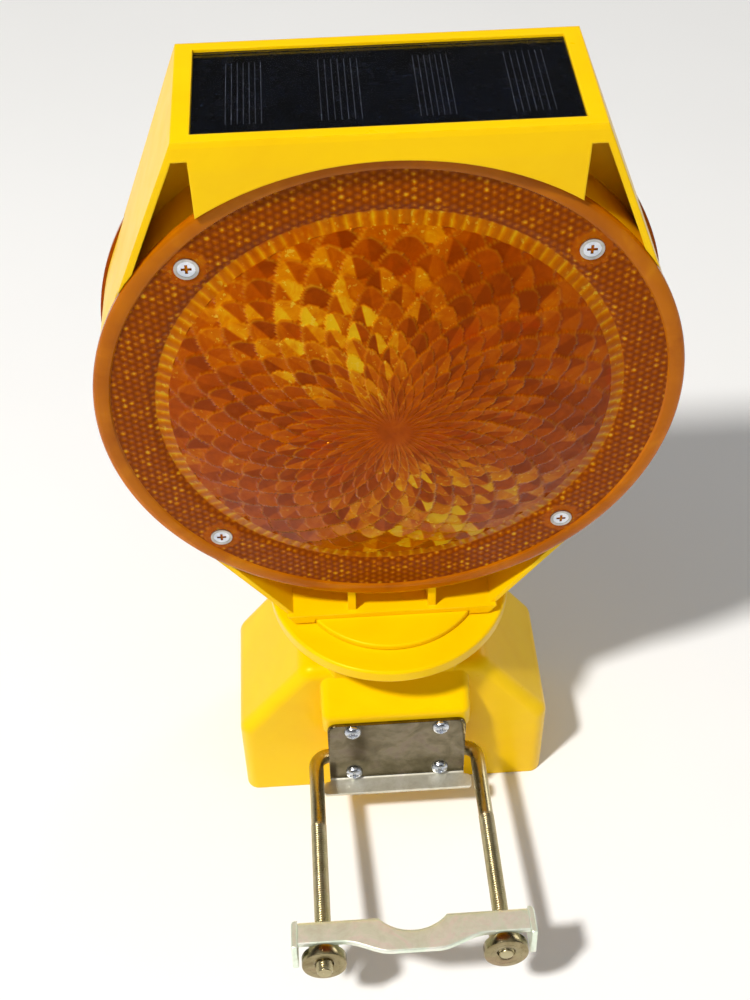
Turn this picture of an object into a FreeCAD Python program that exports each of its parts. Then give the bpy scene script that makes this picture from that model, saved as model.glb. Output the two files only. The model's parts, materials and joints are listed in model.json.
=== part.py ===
"""Two-sided solar barricade warning light with a swivelling head and a post clamp.

Frame: millimetres, +Z up, -Y to the front. The origin is where the head's swivel axis
meets the flat underside of the base.
"""
import FreeCAD, Part
import math
import os

V = FreeCAD.Vector

# ---------------------------------------------------------------- driving dimensions
# Base
BASE_HALF_WIDTH = 62.0
BASE_HALF_DEPTH = 29.0
BASE_SHOULDER_Z = 41.3
BASE_TOP_HALF_WIDTH = 35.0
BASE_TOP_Z = 77.7
BASE_WALL = 2.6
BASE_EDGE_RADIUS = 5.0
NECK_RADIUS = 37.0
NECK_TOP_Z = 91.8
NECK_PLATE = 3.0
RING_RADIUS = 46.0
RING_TOP_Z = 97.8
COVER_THICKNESS = 4.0
GASKET_THICKNESS = 1.0
COVER_POST_TOP = 15.0

# Boss and bracket on the front of the base
BOSS_FRONT_Y = -40.5
BOSS_HALF_WIDTH = 26.8
BOSS_SHOULDER_HALF_WIDTH = 29.0
BOSS_SHOULDER_Z = 54.0
BOSS_BOTTOM_Z = 14.0
BOSS_TOP_Z = 63.5
PLATE_THICKNESS = 1.5
PLATE_HALF_WIDTH = 27.0
PLATE_TOP_Z = 59.6
FLANGE_TOP_Z = 24.1
FLANGE_FRONT_Y = -49.5
FLANGE_HALF_WIDTH = 29.6
BRACKET_SCREW_X = 17.2
BRACKET_SCREW_Z = (27.8, 55.9)
BRACKET_SHANK = 1.75

# Swivel
SPINDLE_RADIUS = 14.0
SPINDLE_BORE = 9.0
SPINDLE_BOTTOM_Z = 79.0
HUB_RADIUS = 35.5
HUB_BOTTOM_Z = 98.1
HUB_TOP_Z = 100.4
RUNNING_GAP = 0.05

# Head
LENS_CENTRE_Z = 208.5
LENS_RADIUS = 95.0
DRUM_RADIUS = 94.0
DRUM_BORE = 90.0
DRUM_HALF_DEPTH = 18.2
HEAD_HALF_DEPTH = 19.0
FLOOR_HALF_DEPTH = 21.0
ROOF_TOP_Z = 313.0
ROOF_HALF_WIDTH = 59.5
ROOF_HALF_DEPTH = 26.0
ROOF_BAND_Z = 306.5
FASCIA_HALF_WIDTH = 55.5
FLOOR_BOTTOM_Z = 98.6
FLOOR_TOP_Z = 102.6
FLOOR_HALF_WIDTH = 36.5
SIDE_WALL = 2.2
WEB_HALF = 1.0
RIB_X = 15.0
RIB_THICKNESS = 3.0
LENS_SCREW_X = 59.9
LENS_SCREW_Z = 58.7
DOME_EDGE_RADIUS = 74.0
DOME_EDGE_Y = -20.8
DOME_SPHERE = 205.0
LENS_WALL = 1.8

# Solar panel
PANEL_HALF_LENGTH = 54.3
PANEL_HALF_WIDTH = 22.1
PANEL_TOP_Z = 312.2

# Light board
BOARD_RADIUS = 42.0
BOARD_HOLE = 34.0
BOARD_FRONT_Y = -2.6
BOARD_BACK_Y = -1.0

# U-bolt clamp, in leg coordinates: x across, s forward along the legs, h above them
ROD_RADIUS = 3.0
LEG_X = 32.25
LEG_PITCH = 6.5
PIVOT = V(0, -37.3, 33.3)
BEND_RADIUS = 5.5
LEG_END_LEFT = 98.0
LEG_END_RIGHT = 95.4
SADDLE_BACK = 81.1
SADDLE_SHEET = 2.2
SADDLE_FRONT = 90.8
SADDLE_HALF_LENGTH = 43.5
SADDLE_TOP = 8.0
SADDLE_BOTTOM = -5.0
SEAT_RADIUS = 16.0
SEAT_HALF_CHORD = 12.25
BULGE_FRONT = 95.9
BULGE_HALF_FOOT = 26.0
BULGE_HALF_TIP = 9.0
NUT_RADIUS = 8.0
NUT_COLLAR_RADIUS = 5.4
NUT_BACK = 91.0
NUT_FRONT = 95.2

# Battery and switch
CELL_RADIUS = 16.6
CELL_X = 18.0
CELL_BOTTOM_Z = 8.0
CELL_HEIGHT = 59.5
SWITCH_X = 47.0
SWITCH_Z = 24.0
BUTTON_TRAVEL = 3.0


# ---------------------------------------------------------------- helpers
def box(x, y, z):
    """Box from three (low, high) pairs."""
    return Part.makeBox(x[1] - x[0], y[1] - y[0], z[1] - z[0], V(x[0], y[0], z[0]))


def cylinder(radius, start, end):
    """Cylinder between two points."""
    along = end - start
    return Part.makeCylinder(radius, along.Length, start, along)


def tube(outer, inner, start, end):
    """Straight tube between two points."""
    return cylinder(outer, start, end).cut(cylinder(inner, start, end))


def upright(radius, x, y, low, high):
    """Cylinder standing along Z."""
    return cylinder(radius, V(x, y, low), V(x, y, high))


def level(radius, x, z, back, front):
    """Cylinder lying along Y at (x, z)."""
    return cylinder(radius, V(x, back, z), V(x, front, z))


def prism(points, shift):
    """Closed polygon of points pushed along the vector shift."""
    outline = Part.makePolygon(points + [points[0]])
    return Part.Face(outline).extrude(shift)


def fuse(shapes):
    """One solid from several."""
    return shapes[0].multiFuse(shapes[1:]).removeSplitter()


def ring_of_points(half_x, half_z, centre_z=0.0):
    """The four (x, z) corners of a rectangle."""
    return [(sx * half_x, centre_z + sz * half_z) for sx in (-1, 1) for sz in (-1, 1)]


def edges_along(shape, direction, test):
    """Straight edges parallel to direction whose midpoint passes the test."""
    found = []
    for edge in shape.Edges:
        if len(edge.Vertexes) != 2:
            continue
        run = edge.Vertexes[1].Point - edge.Vertexes[0].Point
        middle = (edge.Vertexes[1].Point + edge.Vertexes[0].Point) * 0.5
        if abs(run.dot(direction)) > 0.999 * run.Length and test(middle):
            found.append(edge)
    return found


def mirrored(shape):
    """The same shape on the other side of the plane y = 0."""
    return shape.mirror(V(0, 0, 0), V(0, 1, 0))


def on_legs(shape):
    """Carry a shape from leg coordinates (x, -s, h) into the object's frame."""
    placed = shape.copy()
    placed.rotate(V(0, 0, 0), V(1, 0, 0), -LEG_PITCH)
    placed.translate(PIVOT)
    return placed


def save(name, shape):
    """Write one node; several solids stay separate inside a compound."""
    shape.exportStep("parts/" + name + ".step")
    print(name, len(shape.Solids), round(shape.Volume), shape.isValid())


def cross_recess(radius, depth, x, z, face_y):
    """Phillips recess cutter in a head whose face is at face_y and looks towards -Y."""
    arm = 0.28 * radius
    bars = box((x - radius, x + radius), (face_y - 1, face_y + depth), (z - arm, z + arm))
    return bars.fuse(box((x - arm, x + arm), (face_y - 1, face_y + depth), (z - radius, z + radius)))


# ---------------------------------------------------------------- base
def house_points(inset, y):
    """Front outline of the base, moved inwards by inset."""
    slope = math.atan2(BASE_TOP_Z - BASE_SHOULDER_Z, BASE_HALF_WIDTH - BASE_TOP_HALF_WIDTH)
    shoulder = BASE_SHOULDER_Z - inset * math.tan(slope / 2)
    top_half = BASE_TOP_HALF_WIDTH - inset * math.tan((math.pi / 2 - slope) / 2)
    right = [(BASE_HALF_WIDTH - inset, 0.0), (BASE_HALF_WIDTH - inset, shoulder),
             (top_half, BASE_TOP_Z - inset)]
    left = [(-x, z) for x, z in reversed(right)]
    return [V(x, y, z) for x, z in right + left]


def base_block():
    """Solid outer form of the base with rounded edges."""
    block = prism(house_points(0.0, -BASE_HALF_DEPTH), V(0, 2 * BASE_HALF_DEPTH, 0))
    corners = edges_along(block, V(0, 1, 0), lambda p: p.z > 1)
    block = block.makeFillet(8.0, corners)
    rims = [e for e in block.Edges
            if all(abs(abs(v.Point.y) - BASE_HALF_DEPTH) < 1e-6 for v in e.Vertexes)
            and e.BoundBox.YLength < 1e-6 and e.BoundBox.ZMax > 1]
    return block.makeFillet(BASE_EDGE_RADIUS, rims)


def boss_block():
    """Block on the front of the base that carries the bracket and the U-bolt."""
    back = -BASE_HALF_DEPTH + 1.0
    slope_z = BOSS_TOP_Z + 0.9 * (back - BOSS_FRONT_Y)
    half = BOSS_SHOULDER_HALF_WIDTH
    points = [V(-half, back, BOSS_SHOULDER_Z), V(-half, BOSS_FRONT_Y, BOSS_SHOULDER_Z),
              V(-half, BOSS_FRONT_Y, BOSS_TOP_Z), V(-half, back, slope_z)]
    shoulders = prism(points, V(2 * half, 0, 0))
    slope = V(0, back - BOSS_FRONT_Y, slope_z - BOSS_TOP_Z).normalize()
    rounded = edges_along(shoulders, slope, lambda p: True)
    rounded += edges_along(shoulders, V(0, 0, 1), lambda p: p.y < BOSS_FRONT_Y + 1)
    rounded += edges_along(shoulders, V(1, 0, 0), lambda p: p.z > BOSS_TOP_Z - 1 and p.y < back - 1)
    shoulders = shoulders.makeFillet(3.5, rounded)
    foot = box((-BOSS_HALF_WIDTH, BOSS_HALF_WIDTH), (BOSS_FRONT_Y, back),
               (BOSS_BOTTOM_Z, BOSS_SHOULDER_Z + 3.0))
    return shoulders.fuse(foot)


def cover_screw_places():
    """Corner screw positions under the base."""
    return [(sx * 54.0, sy * 20.5) for sx in (-1, 1) for sy in (-1, 1)]


def ring_screw_places():
    """Screws that hold the bearing ring down."""
    return [(sx * 22.0, sy * 15.0) for sx in (-1, 1) for sy in (-1, 1)]


def base_housing():
    """Hollow base shell, open underneath."""
    slab = box((-60, 60), (-BASE_HALF_DEPTH, BASE_HALF_DEPTH), (60, NECK_TOP_Z))
    neck = upright(NECK_RADIUS, 0, 0, 60, NECK_TOP_Z).common(slab)
    outer = fuse([base_block(), neck, boss_block()])
    inner_depth = BASE_HALF_DEPTH - BASE_WALL
    cavity = prism(house_points(BASE_WALL, -inner_depth), V(0, 2 * inner_depth, 0))
    cavity = cavity.fuse(box((-59.4, 59.4), (-inner_depth, inner_depth), (-1, 1)))
    inner_slab = box((-60, 60), (-inner_depth, inner_depth), (60, NECK_TOP_Z))
    neck_room = upright(NECK_RADIUS - BASE_WALL, 0, 0, 60, NECK_TOP_Z - NECK_PLATE)
    shell = outer.cut(cavity).cut(neck_room.common(inner_slab))
    ledge_z = COVER_THICKNESS + GASKET_THICKNESS
    ledge = box((-60, 60), (-27, 27), (ledge_z, ledge_z + 2))
    ledge = ledge.cut(box((-56.5, 56.5), (-23.5, 23.5), (0, 20)))
    posts = [upright(4.6, x, y, ledge_z, COVER_POST_TOP) for x, y in cover_screw_places()]
    shell = fuse([shell, ledge] + posts)
    for x, y in cover_screw_places():
        shell = shell.cut(upright(1.6, x, y, 0, COVER_POST_TOP - 1))
    for x, y in ring_screw_places():
        shell = shell.cut(upright(1.8, x, y, 85, 100))
    shell = shell.cut(upright(16.05, 0, 0, 85, 100))
    slot = cylinder(ROD_RADIUS + RUNNING_GAP, V(-40, PIVOT.y, PIVOT.z), V(40, PIVOT.y, PIVOT.z))
    reach = ROD_RADIUS + RUNNING_GAP
    slot = slot.fuse(box((-40, 40), (-60, PIVOT.y), (PIVOT.z - reach, PIVOT.z + reach)))
    shell = shell.cut(slot)
    for x in (-BRACKET_SCREW_X, BRACKET_SCREW_X):
        for z in BRACKET_SCREW_Z:
            shell = shell.cut(level(BRACKET_SHANK + 0.05, x, z, BOSS_FRONT_Y - 1, BOSS_FRONT_Y + 10.5))
    return shell.cut(level(6.05, SWITCH_X, SWITCH_Z, 20, 35))


def swivel_ring():
    """Wide flat bearing ring on top of the neck."""
    ring = upright(RING_RADIUS, 0, 0, NECK_TOP_Z, RING_TOP_Z)
    rims = [e for e in ring.Edges if abs(e.Length - 2 * math.pi * RING_RADIUS) < 0.1]
    ring = ring.makeFillet(1.2, rims).cut(upright(16.05, 0, 0, 85, 100))
    for x, y in ring_screw_places():
        ring = ring.cut(upright(1.6, x, y, 90, 96))
    return ring


def swivel_bushing():
    """Plain sleeve that the spindle turns in, with a flange under the neck plate."""
    low = NECK_TOP_Z - NECK_PLATE
    sleeve = upright(16.0, 0, 0, low, RING_TOP_Z).fuse(upright(19.0, 0, 0, low - 1.5, low))
    return sleeve.cut(upright(SPINDLE_RADIUS + RUNNING_GAP, 0, 0, 80, 100))


def ring_screws():
    """Screws from inside the neck up into the bearing ring."""
    low = NECK_TOP_Z - NECK_PLATE
    return Part.makeCompound([
        upright(2.9, x, y, low - 2.0, low).fuse(upright(1.55, x, y, low, 95.5))
        for x, y in ring_screw_places()])


def bottom_cover():
    """Screwed plate that closes the battery space and is the face it stands on."""
    plate = box((-59.2, 59.2), (-26.2, 26.2), (0, COVER_THICKNESS))
    plate = plate.makeFillet(1.0, edges_along(plate, V(0, 0, 1), lambda p: True))
    for x, y in cover_screw_places():
        plate = plate.cut(upright(3.6, x, y, -1, 2.6)).cut(upright(1.9, x, y, 0, 10))
    return plate


def cover_gasket():
    """Flat seal between the cover and the ledge in the shell."""
    top = COVER_THICKNESS + GASKET_THICKNESS
    seal = box((-59.2, 59.2), (-26.2, 26.2), (COVER_THICKNESS, top))
    seal = seal.cut(box((-56.5, 56.5), (-23.5, 23.5), (0, 10)))
    for x, y in cover_screw_places():
        seal = seal.cut(upright(5.0, x, y, 0, 10))
    return seal


def cover_screws():
    """Screws that hold the bottom cover, heads sunk below the face."""
    return Part.makeCompound([
        upright(3.2, x, y, 0.4, 2.6).fuse(upright(1.55, x, y, 2.6, COVER_POST_TOP - 1.5))
        for x, y in cover_screw_places()])


def mounting_bracket():
    """Folded steel plate over the U-bolt's crossbar, with a flange along its foot."""
    back = BOSS_FRONT_Y
    front = BOSS_FRONT_Y - PLATE_THICKNESS
    low = FLANGE_TOP_Z - PLATE_THICKNESS
    plate = box((-PLATE_HALF_WIDTH, PLATE_HALF_WIDTH), (front, back), (low, PLATE_TOP_Z))
    plate = plate.makeFillet(3.5, edges_along(plate, V(0, 1, 0), lambda p: p.z > 50))
    flange = box((-FLANGE_HALF_WIDTH, FLANGE_HALF_WIDTH), (FLANGE_FRONT_Y, front), (low, FLANGE_TOP_Z))
    flange = flange.makeFillet(1.5, edges_along(flange, V(0, 0, 1), lambda p: p.y < front - 1))
    body = plate.fuse(flange).removeSplitter()
    for x in (-BRACKET_SCREW_X, BRACKET_SCREW_X):
        for z in BRACKET_SCREW_Z:
            body = body.cut(level(BRACKET_SHANK + 0.25, x, z, front - 1, back + 1))
    return body


def bracket_screws():
    """Pan-head screws through the bracket into the boss."""
    face = BOSS_FRONT_Y - PLATE_THICKNESS
    screws = []
    for x in (-BRACKET_SCREW_X, BRACKET_SCREW_X):
        for z in BRACKET_SCREW_Z:
            head = level(3.4, x, z, face - 2.4, face)
            rim = [e for e in head.Edges if abs(e.BoundBox.YMax - (face - 2.4)) < 0.01]
            head = head.makeFillet(2.1, rim).cut(cross_recess(1.7, 1.4, x, z, face - 2.4))
            screws.append(head.fuse(level(BRACKET_SHANK, x, z, face, BOSS_FRONT_Y + 10)))
    return Part.makeCompound(screws)


# ---------------------------------------------------------------- battery and switch
def battery_holder():
    """Moulded tray, back wall and top bar that hold the two cells upright."""
    tray = box((-37.5, 37.5), (-19.5, 20.5), (COVER_THICKNESS + 0.2, 16))
    for x in (-CELL_X, CELL_X):
        tray = tray.cut(upright(CELL_RADIUS + 0.5, x, 0, 5.4, 20))
    wall = box((-33, 33), (18.2, 20.5), (10, 72))
    bar = box((-33, 33), (-10, 20.5), (69.6, 72))
    return fuse([tray, wall, bar])


def battery_cells():
    """Two rechargeable D-size cells side by side."""
    top = CELL_BOTTOM_Z + CELL_HEIGHT
    return Part.makeCompound([
        upright(CELL_RADIUS, x, 0, CELL_BOTTOM_Z, top).fuse(upright(4.7, x, 0, top, top + 1.5))
        for x in (-CELL_X, CELL_X)])


def battery_springs():
    """Coils under the cells, each three rings of falling radius."""
    coils = []
    for x in (-CELL_X, CELL_X):
        rings = [Part.makeTorus(radius, 0.45, V(x, 0, z))
                 for radius, z in ((9.0, 5.9), (7.5, 6.7), (6.0, 7.5))]
        coils += rings
    return Part.makeCompound(coils)


def battery_strip():
    """Contact strip across the tops of the cells."""
    low = CELL_BOTTOM_Z + CELL_HEIGHT + 1.5
    return box((-24, 24), (-4, 4), (low, low + 0.5))


def power_socket():
    """Round socket on the swivel axis, fixed to the battery holder."""
    return tube(5.0, 2.0 + RUNNING_GAP, V(0, 0, 72), V(0, 0, 76.2))


def switch_body():
    """Push switch behind the rear wall of the base."""
    wall = BASE_HALF_DEPTH - BASE_WALL
    body = level(8.0, SWITCH_X, SWITCH_Z, 13, wall)
    neck = level(6.0, SWITCH_X, SWITCH_Z, wall, BASE_HALF_DEPTH + 3.5)
    return body.fuse(neck).cut(level(4.0, SWITCH_X, SWITCH_Z, 18, 40))


def switch_nut():
    """Six-sided panel nut around the switch's neck."""
    across = 8.2
    corners = [V(SWITCH_X + across * math.cos(math.radians(a)), BASE_HALF_DEPTH,
                 SWITCH_Z + across * math.sin(math.radians(a))) for a in range(0, 360, 60)]
    nut = prism(corners, V(0, 2.4, 0))
    return nut.cut(level(6.02, SWITCH_X, SWITCH_Z, 20, 40))


def switch_button():
    """Push button that slides in the switch's neck."""
    tip = BASE_HALF_DEPTH + 7.0
    button = level(3.7, SWITCH_X, SWITCH_Z, 22, tip)
    rim = [e for e in button.Edges if abs(e.BoundBox.YMin - tip) < 0.01]
    return button.makeFillet(1.2, rim)


# ---------------------------------------------------------------- head
def tangent_point(x, z, radius, side):
    """Point on the lens circle where a line from (x, z) touches it."""
    reach = math.hypot(x, z)
    angle = math.atan2(z, x) + side * math.acos(radius / reach)
    return radius * math.cos(angle), radius * math.sin(angle)


def head_outline(inset, radius):
    """Face in the plane y = 0: roof, tangent walls, lens circle and floor."""
    roof = ROOF_TOP_Z - LENS_CENTRE_Z
    floor = FLOOR_BOTTOM_Z - LENS_CENTRE_Z
    upper = tangent_point(ROOF_HALF_WIDTH - inset, roof, radius, -1)
    lower = tangent_point(FLOOR_HALF_WIDTH - inset, floor, radius, 1)

    def at(point, sign=1):
        return V(sign * point[0], 0, LENS_CENTRE_Z + point[1])

    corner_top = (ROOF_HALF_WIDTH - inset, roof)
    corner_low = (FLOOR_HALF_WIDTH - inset, floor)
    edges = [
        Part.makeLine(at(corner_top, -1), at(corner_top)),
        Part.makeLine(at(corner_top), at(upper)),
        Part.Arc(at(upper), at((radius, 0)), at(lower)).toShape(),
        Part.makeLine(at(lower), at(corner_low)),
        Part.makeLine(at(corner_low), at(corner_low, -1)),
        Part.makeLine(at(corner_low, -1), at(lower, -1)),
        Part.Arc(at(lower, -1), at((radius, 0), -1), at(upper, -1)).toShape(),
        Part.makeLine(at(upper, -1), at(corner_top, -1)),
    ]
    return Part.Face(Part.Wire(edges))


def head_slab(inset, radius, half_depth):
    """The head's outline as a slab about y = 0."""
    face = head_outline(inset, radius)
    face.translate(V(0, -half_depth, 0))
    return face.extrude(V(0, 2 * half_depth, 0))


def depth_profile(inset):
    """Side outline of the head: deep roof, fascia sloping in to the lens, flat below."""
    steps = [(FLOOR_HALF_DEPTH, 0.0), (FLOOR_HALF_DEPTH, FLOOR_TOP_Z), (HEAD_HALF_DEPTH, FLOOR_TOP_Z),
             (HEAD_HALF_DEPTH, 243.0), (23.0, 286.0), (25.3, 303.4), (ROOF_HALF_DEPTH, 311.0),
             (ROOF_HALF_DEPTH, 320.0)]
    front = [V(-110, -(y - inset), z) for y, z in steps]
    back = [V(-110, y - inset, z) for y, z in reversed(steps)]
    return prism(front + back, V(220, 0, 0))


def pocket_cutter():
    """Pockets beside the fascia and under the lens ring, on both sides of the web."""
    inner = head_slab(SIDE_WALL, DRUM_RADIUS - SIDE_WALL, 60)
    drum = level(DRUM_RADIUS, 0, LENS_CENTRE_Z, -80, 80)
    open_area = inner.cut(drum)
    cutters = []
    for side in (-1, 1):
        near, far = sorted((side * FASCIA_HALF_WIDTH, side * 120.0))
        cutters.append(open_area.common(box((near, far), (-60, 60), (208.5, ROOF_BAND_Z))))
        near, far = sorted((side * (RIB_X + RIB_THICKNESS / 2), side * 90.0))
        cutters.append(open_area.common(box((near, far), (-60, 60), (FLOOR_TOP_Z, 208.5))))
    middle = RIB_X - RIB_THICKNESS / 2
    centre = open_area.common(box((-middle, middle), (-60, 60), (FLOOR_TOP_Z, 208.5)))
    core = box((-middle, middle), (-8, 8), (0, 208.5))
    web = box((-200, 200), (-WEB_HALF, WEB_HALF), (0, 400))
    return fuse_list(cutters).cut(web), centre.cut(core)


def fuse_list(shapes):
    """Union that may stay in several pieces."""
    result = shapes[0]
    for shape in shapes[1:]:
        result = result.fuse(shape)
    return result


def hub_screw_places():
    """Screws between the hub and the head's floor."""
    return (-29.0, -19.5, 19.5, 29.0)


def board_screw_places():
    """Screw positions on the light board, as (x, z)."""
    return ring_of_points(26.9, 26.9, LENS_CENTRE_Z)


def lens_screw_places():
    """Screw positions on each lens, as (x, z)."""
    return ring_of_points(LENS_SCREW_X, LENS_SCREW_Z, LENS_CENTRE_Z)


def head_housing():
    """One-piece head moulding: roof tray, fascia box, lens drum, pockets and floor."""
    body = head_slab(0.0, DRUM_RADIUS, 40).common(depth_profile(0.0))
    pockets, centre = pocket_cutter()
    body = body.cut(pockets).cut(centre)
    axis_z = LENS_CENTRE_Z
    bore = level(DRUM_BORE, 0, axis_z, -60, 60)
    web = box((-200, 200), (-WEB_HALF, WEB_HALF), (0, 400))
    body = body.cut(bore.cut(web)).cut(level(BOARD_HOLE, 0, axis_z, -5, 5))
    face = level(LENS_RADIUS + 0.3, 0, axis_z, -60, -DRUM_HALF_DEPTH)
    body = body.cut(face).cut(mirrored(face))
    room = box((-53.3, 53.3), (-17.5, 17.5), (250, 306.5))
    body = body.cut(room.cut(level(DRUM_RADIUS, 0, axis_z, -30, 30)))
    tray = box((-PANEL_HALF_LENGTH, PANEL_HALF_LENGTH), (-PANEL_HALF_WIDTH, PANEL_HALF_WIDTH),
               (309.2, 320))
    well = box((-51, 51), (-17.5, 17.5), (300, 320))
    body = body.cut(tray).cut(well.cut(level(DRUM_RADIUS, 0, axis_z, -30, 30)))
    posts = [level(6.3, x, z, -DRUM_HALF_DEPTH, DRUM_HALF_DEPTH) for x, z in lens_screw_places()]
    bosses = [upright(3.6, x, 0, FLOOR_TOP_Z - 1, 111) for x in hub_screw_places()]
    body = fuse([body] + posts + bosses)
    for x, z in lens_screw_places():
        body = body.cut(level(1.65, x, z, -30, -6)).cut(level(1.65, x, z, 6, 30))
    for x, z in board_screw_places():
        body = body.cut(level(1.25, x, z, -5, 5))
    for x in hub_screw_places():
        body = body.cut(upright(1.6, x, 0, 90, 109.5))
    body = body.cut(upright(HUB_RADIUS + 0.3, 0, 0, 90, HUB_TOP_Z))
    body = body.cut(upright(2.4, 0, 1.2, 90, 180))
    body = body.cut(box((-2.4, 2.4), (-WEB_HALF - 1, WEB_HALF + 3), (119, 180)))
    return body.cut(upright(1.6, 0, -5, 290, 305))


def swivel_hub():
    """Round foot of the head with the hollow spindle that turns in the base."""
    disc = upright(HUB_RADIUS, 0, 0, HUB_BOTTOM_Z, HUB_TOP_Z)
    rims = [e for e in disc.Edges if e.BoundBox.ZMin > HUB_TOP_Z - 0.1]
    disc = disc.makeFillet(0.8, rims)
    body = disc.fuse(upright(SPINDLE_RADIUS, 0, 0, SPINDLE_BOTTOM_Z, HUB_BOTTOM_Z))
    body = body.cut(upright(SPINDLE_BORE, 0, 0, 70, 110))
    for x in hub_screw_places():
        body = body.cut(upright(3.1, x, 0, 90, 99.4)).cut(upright(1.8, x, 0, 90, 110))
    return body


def hub_screws():
    """Screws from under the hub up into the head's floor."""
    return Part.makeCompound([
        upright(2.9, x, 0, HUB_BOTTOM_Z + 0.1, 99.4).fuse(upright(1.55, x, 0, 99.4, 109))
        for x in hub_screw_places()])


def swivel_washer():
    """Sprung washer between the bushing's flange and the swivel nut."""
    return tube(19.0, 14.2, V(0, 0, 85.3), V(0, 0, 87.2))


def swivel_nut():
    """Slotted ring nut on the foot of the spindle."""
    nut = tube(19.5, SPINDLE_RADIUS, V(0, 0, 80), V(0, 0, 85.3))
    for angle in range(0, 180, 45):
        slot = box((-30, 30), (-1.5, 1.5), (79, 82))
        slot.rotate(V(0, 0, 0), V(0, 0, 1), angle)
        nut = nut.cut(slot.cut(upright(17.0, 0, 0, 70, 90)))
    return nut


def dome_arc(sphere, edge_y):
    """Arc from the lens axis out to the dome's edge, bulging towards -Y."""
    flat = math.sqrt(sphere ** 2 - DOME_EDGE_RADIUS ** 2)

    def at(radius):
        return V(radius, edge_y + flat - math.sqrt(sphere ** 2 - radius ** 2), LENS_CENTRE_Z)

    return Part.Arc(at(0), at(DOME_EDGE_RADIUS / 2), at(DOME_EDGE_RADIUS)).toShape(), at(0)


def lens():
    """Front lens: bead round the rim, flat reflector band and a shallow dome inside."""
    outer, outer_tip = dome_arc(DOME_SPHERE, DOME_EDGE_Y)
    inner, inner_tip = dome_arc(DOME_SPHERE - LENS_WALL, DOME_EDGE_Y + LENS_WALL)
    rim = [(DOME_EDGE_RADIUS, DOME_EDGE_Y), (76, -20.2), (78, -21.0), (89.6, -21.0),
           (90.6, -21.6), (94.0, -21.6), (LENS_RADIUS, -20.8), (LENS_RADIUS, -19.0),
           (DOME_EDGE_RADIUS, DOME_EDGE_Y + LENS_WALL)]
    corners = [V(r, y, LENS_CENTRE_Z) for r, y in rim]
    lines = [Part.makeLine(a, b) for a, b in zip(corners, corners[1:])]
    outline = Part.Wire(Part.__sortEdges__([outer, inner, Part.makeLine(inner_tip, outer_tip)] + lines))
    body = Part.Face(outline).revolve(V(0, 0, LENS_CENTRE_Z), V(0, 1, 0), 360)
    for x, z in lens_screw_places():
        body = body.cut(level(3.8, x, z, -30, -10))
    return body


def lens_gasket():
    """Flat ring between the front lens and the drum."""
    ring = level(93.6, 0, LENS_CENTRE_Z, -19.0, -DRUM_HALF_DEPTH)
    ring = ring.cut(level(87.0, 0, LENS_CENTRE_Z, -30, 0))
    for x, z in lens_screw_places():
        ring = ring.cut(level(3.9, x, z, -30, -10))
    return ring


def lens_ferrules():
    """Metal sleeves that stop the front lens screws crushing the lens."""
    sleeves = []
    for x, z in lens_screw_places():
        sleeve = level(3.75, x, z, -21.4, -DRUM_HALF_DEPTH)
        sleeves.append(sleeve.cut(level(2.8, x, z, -30, -19.8)).cut(level(1.7, x, z, -30, -10)))
    return Part.makeCompound(sleeves)


def lens_screws():
    """Cross-head screws of the front lens, heads sunk in the ferrules."""
    screws = []
    for x, z in lens_screw_places():
        head = level(2.75, x, z, -21.3, -19.8).cut(cross_recess(1.6, 1.0, x, z, -21.3))
        screws.append(head.fuse(level(1.6, x, z, -19.8, -7)))
    return Part.makeCompound(screws)


# ---------------------------------------------------------------- solar panel
def panel_seal():
    """Soft bead under the edge of the panel."""
    ring = box((-54.1, 54.1), (-21.9, 21.9), (309.2, 309.8))
    return ring.cut(box((-51, 51), (-18.5, 18.5), (300, 320)))


def solar_cells():
    """Dark laminate with the cells."""
    return box((-54.1, 54.1), (-21.9, 21.9), (309.8, 311.0))


def panel_cover():
    """Clear sheet over the cells, just below the roof's edge."""
    return box((-54.1, 54.1), (-21.9, 21.9), (311.0, PANEL_TOP_Z))


def panel_lead():
    """Short lead from the panel down to the light board."""
    return upright(1.3, 0, -5, 240.5, 309.8)


# ---------------------------------------------------------------- light board
def light_board():
    """Round board fixed to the head's web."""
    board = level(BOARD_RADIUS, 0, LENS_CENTRE_Z, BOARD_FRONT_Y, BOARD_BACK_Y)
    for x, z in board_screw_places():
        board = board.cut(level(1.4, x, z, -10, 10))
    return board


def board_screws():
    """Screws that hold the light board."""
    return Part.makeCompound([
        level(2.4, x, z, BOARD_FRONT_Y - 1.6, BOARD_FRONT_Y).fuse(
            level(1.2, x, z, BOARD_FRONT_Y, WEB_HALF))
        for x, z in board_screw_places()])


def light_diodes(face_y, direction):
    """Three domed light-emitting diodes standing off one face of the board."""
    diodes = []
    for angle in (90, 210, 330):
        x = 12 * math.cos(math.radians(angle))
        z = LENS_CENTRE_Z + 12 * math.sin(math.radians(angle))
        tip = face_y + direction * 6.0
        body = level(2.9, x, z, face_y, face_y + direction)
        body = body.fuse(level(2.5, x, z, face_y, tip))
        diodes.append(body.fuse(Part.makeSphere(2.5, V(x, tip, z))))
    return Part.makeCompound(diodes)


def board_parts():
    """Controller chip, coil and capacitor on the front of the board."""
    chip = box((-5, 5), (BOARD_FRONT_Y - 2, BOARD_FRONT_Y), (182, 190))
    coil = level(4.0, -24, LENS_CENTRE_Z, BOARD_FRONT_Y - 6, BOARD_FRONT_Y)
    capacitor = level(4.0, 24, LENS_CENTRE_Z, BOARD_FRONT_Y - 9, BOARD_FRONT_Y)
    return Part.makeCompound([chip, coil, capacitor])


def board_connectors():
    """Sockets on the board for the panel lead and the power lead."""
    upper = box((-4, 4), (-7.2, BOARD_FRONT_Y), (234, 240.5))
    lower = box((-4, 4), (BOARD_BACK_Y, 3.6), (176.5, 183))
    return Part.makeCompound([upper, lower])


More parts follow.
